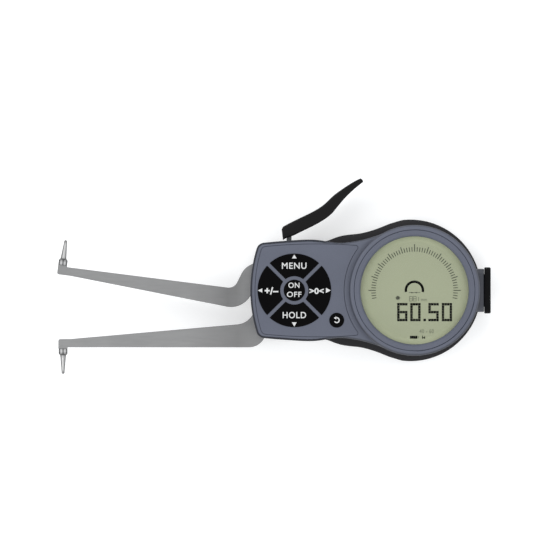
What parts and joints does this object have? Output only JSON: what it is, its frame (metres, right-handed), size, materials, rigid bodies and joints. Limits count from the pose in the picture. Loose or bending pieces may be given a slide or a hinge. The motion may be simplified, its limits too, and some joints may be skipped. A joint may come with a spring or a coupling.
{
  "type": "internal caliper gauge",
  "caption": "Hand-held internal caliper gauge with two measuring arms, an operating lever, a keypad and a round digital display.",
  "frame": {"origin": "on the flat back of the housing, under the middle of the dial", "axes": "+Z out of the display, +X from the arms to the data port, +Y to the operating lever"},
  "size_m": [0.1962, 0.0885, 0.0296],
  "materials": {
    "shell_grey": "fine moulded grain, blue-grey",
    "shell_black": "moulded grain, black",
    "rubber_black": "matt",
    "keypad_rubber": "silicone, matt",
    "key_black": "satin",
    "handle_black": "satin moulded",
    "window": "clear",
    "display": "yellow-green reflective display",
    "mask_black": "matt",
    "moulded_white": "moulded",
    "moulded_dark": "moulded",
    "neck_grey": "moulded, dark grey",
    "board_green": "solder mask",
    "cell_jacket": "plain jacket",
    "contact_metal": "nickel plated",
    "screw_steel": "zinc plated",
    "cast_aluminium": "cast and milled",
    "arm_steel": "satin chromed, matt grey",
    "tip_steel": "turned and ground",
    "bright_steel": "ground",
    "dark_steel": "blackened",
    "spring_steel": "drawn wire",
    "scale_glass": "glass with fine lines",
    "cable_film": "polyimide film"
  },
  "bodies": {
    "housing": {"battery_box": "moulded_dark", "battery_cell_a": "cell_jacket", "battery_cell_b": "cell_jacket", "battery_cover": "shell_black", "battery_cover_gasket": "rubber_black", "battery_cover_screws": "screw_steel", "bearing_bridge": "cast_aluminium", "bearing_lower": "bright_steel", "bearing_upper": "bright_steel", "bezel_ring": "shell_grey", "bridge_screws": "screw_steel", "chassis": "cast_aluminium", "chassis_screws": "screw_steel", "contact_link": "contact_metal", "contact_plates": "contact_metal", "contact_tip_fixed": "tip_steel", "display_holder": "moulded_white", "display_mask": "mask_black", "display_panel": "display", "fixed_arm": "arm_steel", "fixed_arm_screws": "screw_steel", "flat_cable": "cable_film", "front_shell": "shell_grey", "housing_screws": "screw_steel", "keypad_board": "board_green", "keypad_board_screws": "screw_steel", "keypad_mat": "keypad_rubber", "keypad_panel": "shell_grey", "lens": "window", "lens_gasket": "rubber_black", "lever_pin": "bright_steel", "main_board": "board_green", "port_contacts": "moulded_dark", "port_neck": "neck_grey", "rear_shell": "shell_black", "return_spring": "spring_steel", "sensor_board": "board_green", "shell_gasket": "rubber_black", "spring_post": "bright_steel", "stop_pin": "bright_steel"},
    "arm": {"moving_arm": "arm_steel", "pivot_shaft": "bright_steel", "shaft_washers": "bright_steel", "retaining_ring": "bright_steel", "contact_tip_moving": "tip_steel", "angle_scale": "scale_glass", "spring_peg": "bright_steel"},
    "lever": {"lever_crank": "dark_steel", "push_pin": "bright_steel", "lever_handle": "handle_black"},
    "key_top": {"key_top": "key_black"},
    "key_left": {"key_left": "key_black"},
    "key_right": {"key_right": "key_black"},
    "key_bottom": {"key_bottom": "key_black"},
    "key_centre": {"key_centre": "key_black"},
    "key_small": {"key_small": "key_black"},
    "cap": {"port_cap": "rubber_black"}
  },
  "joints": [
    {"name": "arm_hinge", "type": "hinge", "parent": "housing", "child": "arm", "pos_m": [-0.0559, 0.0069, 0.0135], "axis": [0, 0, 1], "range_deg": [0, 11.5], "stiffness_Nm_per_rad": 0.2, "springref_deg": -16.04, "deforming": ["return_spring"]},
    {"name": "lever_hinge", "type": "hinge", "parent": "housing", "child": "lever", "pos_m": [-0.0568, 0.0186, 0.0152], "axis": [0, 0, 1], "range_deg": [-24.8, 0]},
    {"name": "key_top_press", "type": "slide", "parent": "housing", "child": "key_top", "axis": [0, 0, -1], "range_m": [0, 0.0005], "stiffness_N_per_m": 500, "deforming": ["keypad_mat"]},
    {"name": "key_left_press", "type": "slide", "parent": "housing", "child": "key_left", "axis": [0, 0, -1], "range_m": [0, 0.0005], "stiffness_N_per_m": 500, "deforming": ["keypad_mat"]},
    {"name": "key_right_press", "type": "slide", "parent": "housing", "child": "key_right", "axis": [0, 0, -1], "range_m": [0, 0.0005], "stiffness_N_per_m": 500, "deforming": ["keypad_mat"]},
    {"name": "key_bottom_press", "type": "slide", "parent": "housing", "child": "key_bottom", "axis": [0, 0, -1], "range_m": [0, 0.0005], "stiffness_N_per_m": 500, "deforming": ["keypad_mat"]},
    {"name": "key_centre_press", "type": "slide", "parent": "housing", "child": "key_centre", "axis": [0, 0, -1], "range_m": [0, 0.0005], "stiffness_N_per_m": 500, "deforming": ["keypad_mat"]},
    {"name": "key_small_press", "type": "slide", "parent": "housing", "child": "key_small", "axis": [0, 0, -1], "range_m": [0, 0.0005], "stiffness_N_per_m": 500, "deforming": ["keypad_mat"]},
    {"name": "cap_pull", "type": "slide", "parent": "housing", "child": "cap", "axis": [1, 0, 0], "range_m": [0, 0.012]}
  ],
  "couplings": [
    {"joint": "lever_hinge", "follows": "arm_hinge", "ratio": -2.15}
  ]
}
